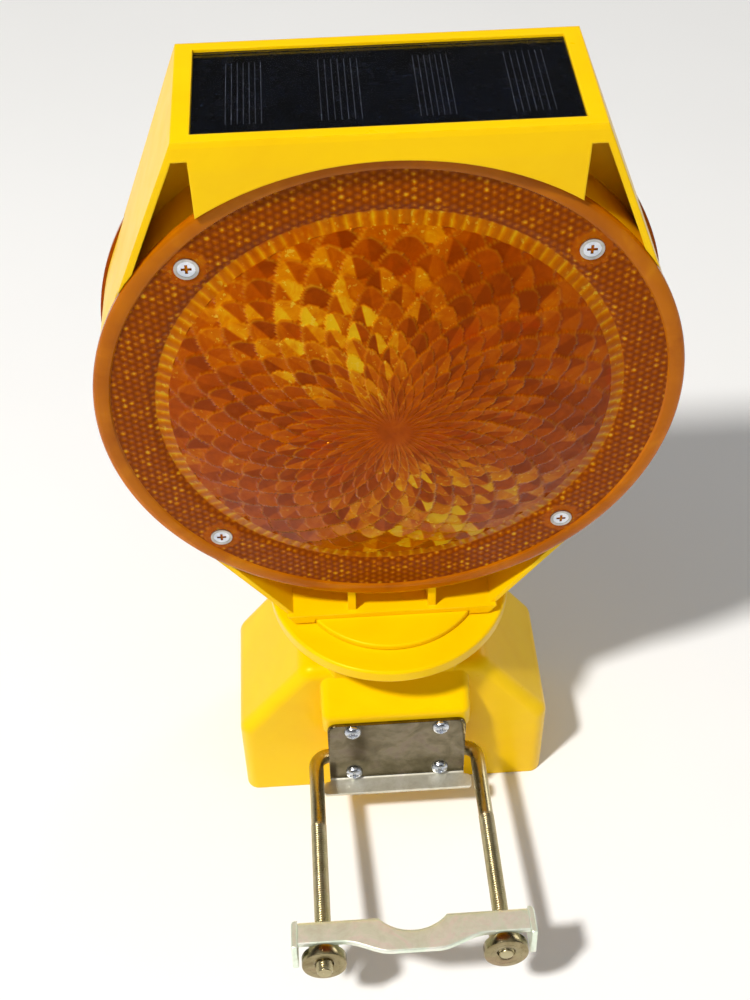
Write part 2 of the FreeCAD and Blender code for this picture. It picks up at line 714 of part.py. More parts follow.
def power_lead():
    """Lead from the board down the hollow spindle."""
    return upright(1.8, 0, 1.2, 84, 176.5)


def power_plug():
    """Round plug on the swivel axis that turns in the socket."""
    return upright(5.0, 0, 0, 76.6, 84).fuse(upright(2.0, 0, 0, 73, 76.6))


# ---------------------------------------------------------------- clamp
def u_bolt():
    """Bent rod: crossbar in the boss, two legs forward."""
    corner = LEG_X - BEND_RADIUS
    turn = BEND_RADIUS * math.sqrt(0.5)

    def bend(sign):
        return Part.Arc(V(sign * corner, 0, 0),
                        V(sign * (corner + turn), turn - BEND_RADIUS, 0),
                        V(sign * LEG_X, -BEND_RADIUS, 0)).toShape()

    path = Part.Wire([
        Part.makeLine(V(-LEG_X, -LEG_END_LEFT, 0), V(-LEG_X, -BEND_RADIUS, 0)),
        bend(-1),
        Part.makeLine(V(-corner, 0, 0), V(corner, 0, 0)),
        bend(1),
        Part.makeLine(V(LEG_X, -BEND_RADIUS, 0), V(LEG_X, -LEG_END_RIGHT, 0))])
    section = Part.Wire(Part.makeCircle(ROD_RADIUS, V(-LEG_X, -LEG_END_LEFT, 0), V(0, 1, 0)))
    return on_legs(path.makePipeShell([section], True, True))


def clamp_saddle():
    """Pressed saddle: top flange and back web that curve round the post's seat."""
    centre = -(SADDLE_BACK - math.sqrt(SEAT_RADIUS ** 2 - SEAT_HALF_CHORD ** 2))
    length = (-SADDLE_HALF_LENGTH, SADDLE_HALF_LENGTH)
    web_z = (SADDLE_BOTTOM, SADDLE_TOP)
    corners = [(-SADDLE_HALF_LENGTH, SADDLE_BACK), (-SADDLE_HALF_LENGTH, SADDLE_FRONT),
               (-BULGE_HALF_FOOT, SADDLE_FRONT), (-BULGE_HALF_TIP, BULGE_FRONT),
               (BULGE_HALF_TIP, BULGE_FRONT), (BULGE_HALF_FOOT, SADDLE_FRONT),
               (SADDLE_HALF_LENGTH, SADDLE_FRONT), (SADDLE_HALF_LENGTH, SADDLE_BACK)]
    flange = prism([V(x, -s, SADDLE_TOP - SADDLE_SHEET) for x, s in corners], V(0, 0, SADDLE_SHEET))
    flange = flange.makeFillet(8.0, edges_along(flange, V(0, 0, 1), lambda p: abs(p.x) < 30))
    web = box(length, (-SADDLE_BACK - SADDLE_SHEET, -SADDLE_BACK), web_z)
    ahead = box(length, (-120, -SADDLE_BACK), web_z)
    seat = upright(SEAT_RADIUS + SADDLE_SHEET, 0, centre, SADDLE_BOTTOM, SADDLE_TOP).common(ahead)
    ends = [box(sorted((s * (SADDLE_HALF_LENGTH - SADDLE_SHEET), s * SADDLE_HALF_LENGTH)),
                (-SADDLE_FRONT - 1.2, -SADDLE_BACK), web_z) for s in (-1, 1)]
    body = fuse([flange, web, seat] + ends)
    body = body.cut(upright(SEAT_RADIUS, 0, centre, -20, 20))
    corners = edges_along(body, V(0, 0, 1), lambda p: p.y > -SADDLE_BACK - 0.1 and abs(p.x) > 40)
    body = body.makeFillet(2.0, corners)
    for x in (-LEG_X, LEG_X):
        body = body.cut(level(ROD_RADIUS + 0.3, x, 0, -100, -70))
    return on_legs(body)


def clamp_nut(x):
    """Round security nut with a collar that reaches the saddle's web."""
    web_face = -(SADDLE_BACK + SADDLE_SHEET) - 0.05
    disc = level(NUT_RADIUS, x, 0, -NUT_FRONT, -NUT_BACK)
    disc = disc.makeFillet(0.6, [e for e in disc.Edges if e.BoundBox.YLength < 0.01])
    body = disc.fuse(level(NUT_COLLAR_RADIUS, x, 0, -NUT_BACK, web_face))
    return on_legs(body.cut(level(ROD_RADIUS + RUNNING_GAP, x, 0, -110, -70)))


# ---------------------------------------------------------------- build
def main():
    os.makedirs("parts", exist_ok=True)
    nodes = {
        "base_housing": base_housing(),
        "swivel_ring": swivel_ring(),
        "swivel_bushing": swivel_bushing(),
        "ring_screws": ring_screws(),
        "bottom_cover": bottom_cover(),
        "cover_gasket": cover_gasket(),
        "cover_screws": cover_screws(),
        "mounting_bracket": mounting_bracket(),
        "bracket_screws": bracket_screws(),
        "battery_holder": battery_holder(),
        "battery_cells": battery_cells(),
        "battery_springs": battery_springs(),
        "battery_strip": battery_strip(),
        "power_socket": power_socket(),
        "switch_body": switch_body(),
        "switch_nut": switch_nut(),
        "switch_button": switch_button(),
        "head_housing": head_housing(),
        "swivel_hub": swivel_hub(),
        "hub_screws": hub_screws(),
        "swivel_washer": swivel_washer(),
        "swivel_nut": swivel_nut(),
        "panel_seal": panel_seal(),
        "solar_cells": solar_cells(),
        "panel_cover": panel_cover(),
        "panel_lead": panel_lead(),
        "light_board": light_board(),
        "board_screws": board_screws(),
        "front_diodes": light_diodes(BOARD_FRONT_Y, -1),
        "rear_diodes": light_diodes(BOARD_BACK_Y, 1),
        "board_parts": board_parts(),
        "board_connectors": board_connectors(),
        "power_lead": power_lead(),
        "power_plug": power_plug(),
        "u_bolt": u_bolt(),
        "clamp_saddle": clamp_saddle(),
        "clamp_nut_left": clamp_nut(-LEG_X),
        "clamp_nut_right": clamp_nut(LEG_X),
    }
    for piece, make in (("lens", lens), ("lens_gasket", lens_gasket),
                        ("lens_ferrules", lens_ferrules), ("lens_screws", lens_screws)):
        nodes["front_" + piece] = make()
        nodes["rear_" + piece] = mirrored(make())
    for name, shape in nodes.items():
        save(name, shape)


main()
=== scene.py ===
import bpy
import bmesh
import json
import math
import random
from mathutils import Matrix, Vector


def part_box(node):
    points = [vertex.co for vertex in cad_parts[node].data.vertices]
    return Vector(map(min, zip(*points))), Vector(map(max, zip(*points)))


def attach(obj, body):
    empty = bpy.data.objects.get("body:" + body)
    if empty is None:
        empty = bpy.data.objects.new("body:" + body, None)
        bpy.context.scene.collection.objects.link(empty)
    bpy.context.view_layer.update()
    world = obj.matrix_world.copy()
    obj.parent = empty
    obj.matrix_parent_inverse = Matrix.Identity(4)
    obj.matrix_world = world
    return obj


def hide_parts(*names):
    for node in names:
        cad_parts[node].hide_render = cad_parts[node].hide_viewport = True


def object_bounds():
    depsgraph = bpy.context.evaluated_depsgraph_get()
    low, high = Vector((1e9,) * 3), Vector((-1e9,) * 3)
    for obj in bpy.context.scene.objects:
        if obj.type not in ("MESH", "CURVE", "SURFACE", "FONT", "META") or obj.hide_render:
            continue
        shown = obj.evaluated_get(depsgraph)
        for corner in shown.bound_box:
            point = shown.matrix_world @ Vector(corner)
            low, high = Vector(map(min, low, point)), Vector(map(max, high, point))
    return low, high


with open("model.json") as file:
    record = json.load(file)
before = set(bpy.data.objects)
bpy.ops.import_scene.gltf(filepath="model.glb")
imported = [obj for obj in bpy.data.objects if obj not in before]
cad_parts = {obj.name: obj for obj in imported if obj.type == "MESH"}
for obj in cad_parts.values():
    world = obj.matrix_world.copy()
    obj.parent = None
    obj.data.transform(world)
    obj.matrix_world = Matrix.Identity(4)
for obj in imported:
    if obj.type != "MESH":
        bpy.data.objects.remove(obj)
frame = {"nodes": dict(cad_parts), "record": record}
cad_low, cad_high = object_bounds()

MM = 0.001

# Head and lens, in millimetres
LENS_CENTRE_Z = 208.5
LENS_SCREWS = [(sx * 59.9, sz * 58.7) for sx in (-1, 1) for sz in (-1, 1)]
DOME_EDGE = 74.0
DOME_EDGE_Y = -20.75
DOME_SPHERE = 205.0
LENS_WALL = 1.8
RIM_BACK_Y = -19.05

# U-bolt clamp, in leg coordinates: x across, s forward along the legs, h above them
ROD_RADIUS = 3.0
LEG_X = 32.25
LEG_PITCH = math.radians(6.5)
PIVOT = (0.0, -37.3, 33.3)
BEND_RADIUS = 5.5
LEG_ENDS = {-1: 98.0, 1: 95.4}
THREAD_START = 34.5
THREAD_PITCH = 1.0


# ---------------------------------------------------------------- node helpers
class Graph:
    """Short names for building one material's node tree."""

    def __init__(self, name):
        self.material = bpy.data.materials.new(name)
        self.material.use_nodes = True
        self.tree = self.material.node_tree
        self.shader = self.tree.nodes["Principled BSDF"]
        self.coords = self.tree.nodes.new("ShaderNodeTexCoord").outputs["Object"]

    def add(self, kind, links=(), **values):
        """A new node, its settings from values and its inputs linked or set from links."""
        node = self.tree.nodes.new(kind)
        for key, value in values.items():
            setattr(node, key, value)
        for socket, source in dict(links).items():
            self.put(node.inputs[socket], source)
        return node

    def put(self, socket, source):
        """Link an output, or set a constant, on an input."""
        if isinstance(source, bpy.types.NodeSocket):
            self.tree.links.new(source, socket)
        elif socket.type == "RGBA" and len(source) == 3:
            socket.default_value = tuple(source) + (1.0,)
        else:
            socket.default_value = source

    def noise(self, scale, detail=3.0, rough=0.55, distortion=0.0):
        return self.add("ShaderNodeTexNoise", {
            "Vector": self.coords, "Scale": scale, "Detail": detail,
            "Roughness": rough, "Distortion": distortion}).outputs["Fac"]

    def ramp(self, source, stops):
        """Colour ramp through (place, colour) stops."""
        node = self.add("ShaderNodeValToRGB", {"Fac": source})
        elements = node.color_ramp.elements
        while len(elements) < len(stops):
            elements.new(0.5)
        for element, (place, colour) in zip(elements, stops):
            element.position = place
            element.color = tuple(colour) + (1.0,) * (4 - len(colour))
        return node.outputs["Color"]

    def span(self, source, low, high, start=0.0, end=1.0):
        """Map start..end of a value to low..high, and clamp it."""
        return self.add("ShaderNodeMapRange", {
            "Value": source, "From Min": start, "From Max": end,
            "To Min": low, "To Max": high}).outputs["Result"]

    def mix(self, factor, first, second):
        node = self.add("ShaderNodeMix", data_type="RGBA")
        self.put(node.inputs[0], factor)
        self.put(node.inputs[6], first)
        self.put(node.inputs[7], second)
        return node.outputs[2]

    def math(self, operation, first, second):
        return self.add("ShaderNodeMath", {0: first, 1: second}, operation=operation).outputs[0]

    def edges(self, radius):
        """How sharply the surface turns here: 1 on an edge, 0 on a flat."""
        soft = self.add("ShaderNodeBevel", {"Radius": radius}, samples=4).outputs[0]
        hard = self.add("ShaderNodeNewGeometry").outputs["Normal"]
        dot = self.add("ShaderNodeVectorMath", {0: soft, 1: hard}, operation="DOT_PRODUCT")
        return self.span(dot.outputs["Value"], 1.0, 0.0, 0.80, 0.995), soft

    def bump(self, height, strength, distance, normal=None):
        """A normal bent by a height, on top of another normal if one is given."""
        node = self.add("ShaderNodeBump", {"Height": height, "Strength": strength, "Distance": distance})
        if normal is not None:
            self.put(node.inputs["Normal"], normal)
        return node.outputs["Normal"]

    def set(self, **values):
        """Set the shader's inputs, with _ for each space in a name, and give the material."""
        for key, value in values.items():
            self.put(self.shader.inputs[key.replace("_", " ")], value)
        return self.material


# ---------------------------------------------------------------- materials
def moulded(name, base, deep, worn, roughness, edge_radius=0.0007):
    """Moulded plastic: flow mottling, fine grain, paler rubbed edges and light scuffs."""
    g = Graph(name)
    flow = g.noise(26.0, 4.0, 0.6, distortion=0.6)
    colour = g.mix(g.span(flow, 0.0, 1.0, 0.35, 0.7), base, deep)
    edge, soft = g.edges(edge_radius)
    patchy = g.span(g.noise(160.0, 4.0, 0.6), 0.0, 1.0, 0.42, 0.62)
    wear = g.math("MULTIPLY", edge, patchy)
    colour = g.mix(g.math("MULTIPLY", wear, 0.55), colour, worn)
    dust = g.span(g.noise(420.0, 5.0, 0.65), 0.0, 0.35, 0.62, 0.75)
    colour = g.mix(g.math("MULTIPLY", dust, 0.3), colour, deep)
    rough = g.span(g.noise(95.0, 3.0), roughness - 0.06, roughness + 0.08)
    rough = g.math("ADD", rough, g.math("MULTIPLY", wear, 0.15))
    waves = g.bump(g.noise(38.0, 2.0), 0.25, 0.0012, soft)
    grain = g.bump(g.noise(1500.0, 3.0, 0.6), 0.12, 0.0001, waves)
    return g.set(Base_Color=colour, Roughness=rough, Normal=grain, IOR=1.5, Specular_IOR_Level=0.32,
                 Specular_Tint=(1.0, 0.72, 0.12))


def zinc(name, light, dark, tint_a, tint_b, roughness, edge_radius=0.0004, bands=0.0, metallic=1.0):
    """Passivated zinc: uneven rainbow tint, fine streaks and small bright rubs."""
    g = Graph(name)
    cloud = g.noise(75.0, 4.0, 0.62, distortion=1.2)
    colour = g.ramp(cloud, [(0.30, dark), (0.45, tint_a), (0.55, light), (0.64, tint_b), (0.78, light)])
    fine = g.noise(340.0, 4.0, 0.6)
    colour = g.mix(g.span(fine, 0.0, 0.5, 0.45, 0.7), colour, dark)
    normal = None
    if edge_radius:
        edge, normal = g.edges(edge_radius)
        colour = g.mix(g.math("MULTIPLY", edge, 0.45), colour, light)
    lines = g.noise(900.0, 2.0, 0.5)
    rough = g.math("ADD", g.span(lines, roughness - 0.06, roughness + 0.10), g.span(cloud, -0.02, 0.06))
    normal = g.bump(lines, 0.06, 0.0001, normal)
    if bands:
        normal = g.bump(g.noise(bands, 2.0), 0.2, 0.0004, normal)
    return g.set(Base_Color=colour, Metallic=metallic, Roughness=rough, Normal=normal)


def prism_lattice(g, size):
    """Triangular lattice: 0 at the middle of each tiny prism, rising towards 1 between them."""
    total = None
    for angle in (0.0, 2.0 * math.pi / 3.0, 4.0 * math.pi / 3.0):
        way = (math.cos(angle) / size, 0.0, math.sin(angle) / size)
        along = g.add("ShaderNodeVectorMath", {0: g.coords, 1: way}, operation="DOT_PRODUCT").outputs["Value"]
        wave = g.math("PINGPONG", along, 0.5)
        total = wave if total is None else g.math("ADD", total, wave)
    return g.math("DIVIDE", total, 1.5)


# Amber tones. The brightest facet gold, the rim gold and the fleck gold are painted light: glints and
# highlights put into the colour.
DEEP_AMBER, GOLD, EMBER = (0.32, 0.040, 0.0), (1.0, 0.62, 0.01), (0.55, 0.045, 0.0)
PAINTED_RIM_HIGHLIGHT_GOLD, PAINTED_GLINT_GOLD = (0.92, 0.38, 0.01), (1.0, 0.66, 0.04)
PRISM_SIZE = 0.0023


def amber():
    """Clear amber moulding: faceted scales with painted golden highlights on their rims, painted glints on
    the brightest facets and in small flecks, and a ring of tiny prisms with painted glints.
    """
    g = Graph("amber_lens_moulded")
    optic = g.add("ShaderNodeAttribute", attribute_name="optic")
    split = g.add("ShaderNodeSeparateColor", {"Color": optic.outputs["Color"]})
    rim, facet, ring = (split.outputs[i] for i in range(3))
    streak = g.noise(150.0, 4.0, 0.65, distortion=0.8)
    lively = g.math("ADD", facet, g.span(streak, -0.10, 0.12, 0.32, 0.68))
    # Facet colour runs from deep amber to gold; the gold end is painted glints on the brightest facets.
    scales = g.ramp(lively, [(0.04, DEEP_AMBER), (0.30, (0.50, 0.075, 0.0)), (0.52, (0.64, 0.13, 0.0)),
                             (0.70, (0.88, 0.30, 0.001)), (0.90, GOLD)])
    ember = g.span(g.noise(48.0, 3.0, 0.6), 0.0, 0.7, 0.60, 0.72)
    scales = g.mix(ember, scales, EMBER)
    # Painted highlight: golden lines along the scale rims.
    painted_rim_highlight = g.math("MULTIPLY", rim, g.span(g.noise(90.0, 3.0), 0.25, 0.95, 0.35, 0.65))
    scales = g.mix(painted_rim_highlight, scales, PAINTED_RIM_HIGHLIGHT_GOLD)
    # Painted glints: small golden flecks on the brighter facets.
    painted_glint = g.math("MULTIPLY", g.span(g.noise(520.0, 2.0, 0.6), 0.0, 1.0, 0.62, 0.66),
                   g.span(facet, 0.0, 1.0, 0.35, 0.8))
    scales = g.mix(painted_glint, scales, PAINTED_GLINT_GOLD)
    prisms = prism_lattice(g, PRISM_SIZE)
    # Painted glints: the real prism pattern has its centres brightened towards gold, most where the sparkle
    # noise is high.
    painted_sparkle = g.span(g.noise(240.0, 3.0, 0.6), 0.0, 1.0, 0.5, 0.72)
    cell = g.math("MULTIPLY", g.span(prisms, 1.0, 0.0, 0.10, 0.75), g.math("ADD", painted_sparkle, 0.35))
    reflector = g.ramp(cell, [(0.03, (0.30, 0.046, 0.0)), (0.30, (0.52, 0.11, 0.0)),
                              (0.60, (0.80, 0.27, 0.001)), (0.95, (1.0, 0.56, 0.02))])
    colour = g.mix(ring, scales, reflector)
    fine = g.math("MULTIPLY", g.noise(420.0, 3.0, 0.6), 0.35)
    height = g.math("ADD", fine, g.math("MULTIPLY", prisms, ring))
    rough = g.span(g.noise(260.0, 3.0), 0.05, 0.16, 0.3, 0.8)
    return g.set(Base_Color=colour, Roughness=rough, Normal=g.bump(height, 0.55, 0.0006), IOR=1.49,
                 Transmission_Weight=0.5, Specular_IOR_Level=0.05, Specular_Tint=(1.0, 0.40, 0.02))


def amber_rim():
    """The lens's solid rim: thicker, so deeper and less clear."""
    g = Graph("amber_rim_moulded")
    depth = g.noise(40.0, 3.0, 0.6, distortion=0.8)
    colour = g.ramp(depth, [(0.3, (0.46, 0.105, 0.0)), (0.6, (0.62, 0.17, 0.0)), (0.8, (0.80, 0.28, 0.002))])
    rough = g.span(g.noise(200.0, 3.0), 0.08, 0.2, 0.3, 0.8)
    normal = g.bump(g.noise(150.0, 3.0), 0.1, 0.0004)
    return g.set(Base_Color=colour, Roughness=rough, Normal=normal, IOR=1.49, Transmission_Weight=0.35,
                 Specular_IOR_Level=0.25, Specular_Tint=(1.0, 0.62, 0.22))


def cells():
    """Dark laminate: blue-black silicon with faint crystal and haze."""
    g = Graph("solar_laminate")
    grain = g.noise(60.0, 4.0, 0.6, distortion=0.8)
    colour = g.ramp(grain, [(0.3, (0.0015, 0.0018, 0.003)), (0.6, (0.003, 0.0045, 0.010)),
                            (0.85, (0.006, 0.009, 0.02))])
    rough = g.span(g.noise(300.0), 0.18, 0.34)
    return g.set(Base_Color=colour, Roughness=rough, Specular_IOR_Level=0.08,
                 Normal=g.bump(g.noise(500.0), 0.08, 0.0001))


def finger_silver():
    """Thin printed silver lines, slightly uneven in tone."""
    g = Graph("cell_fingers")
    colour = g.ramp(g.noise(900.0), [(0.3, (0.06, 0.07, 0.09)), (0.7, (0.15, 0.16, 0.20))])
    return g.set(Base_Color=colour, Roughness=g.span(g.noise(500.0), 0.35, 0.55), Metallic=0.4)


def clear_sheet():
    """Clear panel cover with faint smears in its gloss."""
    g = Graph("panel_clear_sheet")
    smear = g.noise(70.0, 4.0, 0.65, distortion=1.0)
    colour = g.ramp(smear, [(0.3, (0.90, 0.93, 0.97)), (0.8, (0.97, 0.98, 1.0))])
    return g.set(Base_Color=colour, Roughness=g.span(smear, 0.02, 0.09), IOR=1.45, Transmission_Weight=1.0,
                 Normal=g.bump(g.noise(900.0), 0.03, 0.0001))


def plain(name, first, second, roughness, metallic=0.0, scale=120.0, grain=900.0, **more):
    """Two-tone noise with grain, for the small and hidden parts."""
    g = Graph(name)
    colour = g.ramp(g.noise(scale, 4.0, 0.6), [(0.35, first), (0.7, second)])
    rough = g.span(g.noise(scale * 3), roughness - 0.07, roughness + 0.09)
    g.set(Base_Color=colour, Roughness=rough, Metallic=metallic,
          Normal=g.bump(g.noise(grain, 3.0), 0.15, 0.00015))
    return g.set(**more)


YELLOW = moulded("yellow_moulding", (0.95, 0.60, 0.0), (0.91, 0.54, 0.0), (0.98, 0.69, 0.03), 0.30)
YELLOW_ZINC = zinc("yellow_zinc_rod", (0.50, 0.44, 0.27), (0.40, 0.34, 0.19), (0.46, 0.40, 0.23),
                   (0.47, 0.38, 0.23), 0.26, 0.0)
SADDLE_ZINC = zinc("saddle_zinc", (0.88, 0.95, 0.81), (0.74, 0.80, 0.65), (0.82, 0.93, 0.76),
                   (0.91, 0.90, 0.80), 0.34, 0.0004, 60.0, 0.6)
# One zinc sheet in two copies: the plate's copy is darkened as a painted dark reflection, and the flange's
# copy is lightened as painted light on its upward face.
BRACKET_ZINC_PAINTED_DARK = zinc("bracket_zinc_sheet_painted_dark", (0.21, 0.18, 0.12), (0.12, 0.10, 0.06), (0.17, 0.145, 0.09),
                    (0.20, 0.16, 0.12), 0.15, 0.0003)
FLANGE_ZINC_PAINTED_LIT = zinc("bracket_zinc_flange_painted_lit", (0.80, 0.77, 0.66), (0.62, 0.58, 0.46), (0.74, 0.71, 0.58),
                   (0.76, 0.70, 0.62), 0.34, 0.0003, 50.0, 0.7)
NUT_ZINC = zinc("nut_zinc", (0.36, 0.30, 0.17), (0.20, 0.15, 0.07), (0.30, 0.25, 0.13), (0.34, 0.25, 0.15),
                0.20, 0.0002)
SCREW_ZINC = plain("bright_zinc", (0.50, 0.54, 0.62), (0.74, 0.76, 0.80), 0.2, 1.0, 300.0, 1200.0)
FERRULE_ZINC = plain("ferrule_zinc", (0.34, 0.33, 0.31), (0.56, 0.54, 0.50), 0.32, 1.0, 300.0, 1200.0)
AMBER = amber()
AMBER_RIM = amber_rim()
SOLAR = cells()
FINGERS = finger_silver()

FINISHES = {
    "yellow_plastic": YELLOW,
    "dark_plastic": plain("dark_moulding", (0.012, 0.012, 0.014), (0.03, 0.03, 0.033), 0.45),
    "amber_lens": AMBER,
    "yellow_zinc": YELLOW_ZINC,
    "bracket_zinc": BRACKET_ZINC_PAINTED_DARK,
    "screw_zinc": SCREW_ZINC,
    "seal_rubber": plain("seal_rubber_black", (0.010, 0.010, 0.010), (0.026, 0.026, 0.026), 0.7),
    "cell_sleeve": plain("cell_sleeve_green", (0.02, 0.11, 0.035), (0.035, 0.17, 0.06), 0.3),
    "contact_brass": plain("contact_brass_strip", (0.62, 0.42, 0.14), (0.80, 0.60, 0.26), 0.25, 1.0),
    "button_rubber": plain("button_rubber_black", (0.012, 0.012, 0.012), (0.03, 0.03, 0.03), 0.6),
    "solar_cell": SOLAR,
    "panel_glass": clear_sheet(),
    "lead_sheath": plain("lead_sheath_red", (0.26, 0.012, 0.008), (0.42, 0.03, 0.02), 0.45),
    "board_green": plain("board_solder_mask", (0.008, 0.055, 0.018), (0.016, 0.09, 0.032), 0.28),
    "board_part": plain("board_part_black", (0.012, 0.012, 0.014), (0.035, 0.035, 0.04), 0.4),
    "diode_clear": plain("diode_resin", (0.90, 0.62, 0.22), (1.0, 0.78, 0.36), 0.1, Transmission_Weight=0.6),
}
NODE_FINISH = {"front_lens_ferrules": FERRULE_ZINC, "rear_lens_ferrules": FERRULE_ZINC}


def finish_cad_nodes():
    """Every carried-over CAD node gets its slot's material."""
    for part in frame["record"]["subparts"]:
        node = frame["nodes"][part["node"]]
        material = NODE_FINISH.get(part["node"], FINISHES[part["material_slot"]])
        if not node.data.materials:
            node.data.materials.append(material)
        for place in node.material_slots:
            place.material = material


# ---------------------------------------------------------------- mesh helpers
def new_piece(name, mesh_source, materials, body, replaces=(), smooth=40.0):
    """Turn a bmesh, or a pair of vertices and faces, into a piece that rides on a body."""
    mesh = bpy.data.meshes.new(name)
    if not isinstance(mesh_source, bmesh.types.BMesh):
        mesh_source = outward_skin(*mesh_source)
    mesh_source.to_mesh(mesh)
    mesh_source.free()
    for material in materials:
        mesh.materials.append(material)
    mesh.update()
    piece = bpy.data.objects.new(name, mesh)
    bpy.context.scene.collection.objects.link(piece)
    mesh.shade_smooth()
    mesh.set_sharp_from_angle(angle=math.radians(smooth))
    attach(piece, body)
    if replaces:
        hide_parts(*replaces)
    return piece


def outward_skin(vertices, faces):
    """A bmesh of these vertices and faces, all facing outwards."""
    mesh = bmesh.new()
    placed = [mesh.verts.new(v) for v in vertices]
    for face in faces:
        mesh.faces.new([placed[i] for i in face])
    bmesh.ops.recalc_face_normals(mesh, faces=mesh.faces)
    return mesh


def add_modifier(piece, kind, **values):
    """A modifier with these settings, at the end of the piece's stack."""
    modifier = piece.modifiers.new(kind.lower(), kind)
    for key, value in values.items():
        setattr(modifier, key, value)
    return modifier


def from_legs(x, s, h):
    """Leg coordinates in millimetres to the object's frame in metres."""
    cos, sin = math.cos(LEG_PITCH), math.sin(LEG_PITCH)
    return Vector((x + PIVOT[0], PIVOT[1] - s * cos + h * sin, PIVOT[2] + s * sin + h * cos)) * MM


def band(rings, closed_u=True, cap_start=None, cap_end=None):
    """Faces between successive rings of equal count; optional tip vertices close the ends."""
    vertices = [v for ring in rings for v in ring]
    count = len(rings[0])
    faces = []
    for i in range(len(rings) - 1):
        for j in range(count if closed_u else count - 1):
            k = (j + 1) % count
            faces.append((i * count + j, i * count + k, (i + 1) * count + k, (i + 1) * count + j))
    for tip, ring, flip in ((cap_start, 0, True), (cap_end, len(rings) - 1, False)):
        if tip is None:
            continue
        vertices.append(tip)
        last = len(vertices) - 1
        for j in range(count):
            k = (j + 1) % count
            a, b = ring * count + j, ring * count + k
            faces.append((last, b, a) if flip else (last, a, b))
    return vertices, faces


def loop_band(rings):
    """A closed ring of rings, such as a lathe profile that returns to its start."""
    vertices, faces = band(rings)
    count = len(rings[0])
    last = (len(rings) - 1) * count
    for j in range(count):
        k = (j + 1) % count
        faces.append((last + j, last + k, k, j))
    return vertices, faces


# ---------------------------------------------------------------- lens
# Radii in millimetres, and turns as shares of a full turn from +X
SECTORS = 34
SEGMENTS = 14 * SECTORS
ROW_SHIFT = 0.37
ROW_EDGES = [0.0, 6.5, 12.0, 17.2, 22.3, 27.3, 32.3, 37.3, 42.3, 47.3, 52.3, 57.3, 62.2, 67.0, 71.4]
SCALES_EDGE = ROW_EDGES[-1]
RING_INNER, RING_OUTER = 76.0, 89.6
RIM_INNER, LENS_RADIUS = 89.5, 95.0
SCALE_HEIGHT, SCALE_SUNK, SCALE_OVERLAP = 0.62, 0.72, 1.0
RIM_WIDTH = 0.85
CALM_RADIUS = 9.0
SCREW_PAD = 6.4
RIDGES = 119.0
# Turn and half width of the two wedges where painted glow brightens the lens.
PAINTED_GLOW_WEDGES = [(0.315, 0.12), (0.80, 0.14)]
FACET_DRAW = random.Random(11)
FACETS = [[FACET_DRAW.random() for _ in range(2 * SECTORS)] for _ in ROW_EDGES]


def dome_y(radius):
    """Front of the smooth dome, in millimetres from the head's middle plane."""
    flat = math.sqrt(DOME_SPHERE ** 2 - DOME_EDGE ** 2)
    return DOME_EDGE_Y + flat - math.sqrt(DOME_SPHERE ** 2 - min(radius, DOME_EDGE) ** 2)


def scale_relief(radius, turn):
    """Fish scales: (height, nearness to the scale's rim, the half scale's own random number)."""
    best = (0.0, 0.0, 0.5)
    for row, (inner, outer) in enumerate(zip(ROW_EDGES, ROW_EDGES[1:])):
        width = outer - inner
        across = turn * SECTORS + row * ROW_SHIFT
        place = 2.0 * (across % 1.0) - 1.0
        edge = inner + width * (0.4 + 0.95 * (1.0 - place * place))
        if inner - SCALE_OVERLAP <= radius <= edge:
            rise = (radius - inner + SCALE_OVERLAP) / (edge - inner + SCALE_OVERLAP)
            facet = FACETS[row][int(math.floor(2.0 * across)) % (2 * SECTORS)]
            height = SCALE_HEIGHT * rise ** 1.5 * (1.0 - 0.3 * place * place)
            height += 0.14 * (facet - 0.5) * place * rise
            if height > best[0]:
                slope = 1.9 * width * abs(place) * SECTORS / (math.pi * max(radius, 4.0))
                rim = max(0.0, 1.0 - (edge - radius) / (RIM_WIDTH * math.hypot(1.0, slope)))
                best = (height, rim, facet)
    if radius >= CALM_RADIUS:
        return best
    keep = max(0.0, (radius - 4.0) / (CALM_RADIUS - 4.0))
    height, rim, facet = best
    return height * keep + 0.3 * (1.0 - keep), rim * keep, facet * keep + 0.4 * (1.0 - keep)


def painted_wedge_glow(turn):
    """How strongly a direction on the lens is brightened by painted glow: two bright wedges of painted light.
    """
    nearest = [abs((turn - centre + 0.5) % 1.0 - 0.5) / half for centre, half in PAINTED_GLOW_WEDGES]
    return max(max(0.0, 1.0 - near) for near in nearest) ** 0.7


def lens_pattern(radius, turn):
    """(outward offset in millimetres, rim, facet, ring) of the lens's front; rim carries the painted rim
    highlight and facet the facet brightness, both raised by the wedges' painted glow.
    """
    if radius < SCALES_EDGE:
        height, rim, facet = scale_relief(radius, turn)
        # The wedges' painted glow raises the facets' brightness and the rims' painted highlight.
        painted_glow = painted_wedge_glow(turn)
        fade = min(1.0, radius / 30.0)
        lively = 0.3 + fade * (facet * (0.5 + 0.5 * painted_glow) - 0.3)
        return height * (0.35 + 0.65 * fade) - SCALE_SUNK, rim * fade * (0.4 + 0.6 * painted_glow), lively, 0.0
    if radius < RING_INNER:
        # On the step, each ridge crest takes the painted golden rim highlight.
        ridge = abs((turn * RIDGES) % 1.0 - 0.5)
        return -0.25 - 0.7 * ridge, 0.5 - ridge, 0.3 + ridge, 0.15
    if radius < RING_OUTER:
        angle = turn * 2.0 * math.pi
        near = min(math.hypot(radius * math.cos(angle) - sx, radius * math.sin(angle) - sz)
                   for sx, sz in LENS_SCREWS)
        return (-0.3, 0.0, 0.4, 1.0) if near > SCREW_PAD else (-0.1, 0.0, 0.5, 0.2)
    return 0.0, 0.0, 0.4, 0.0


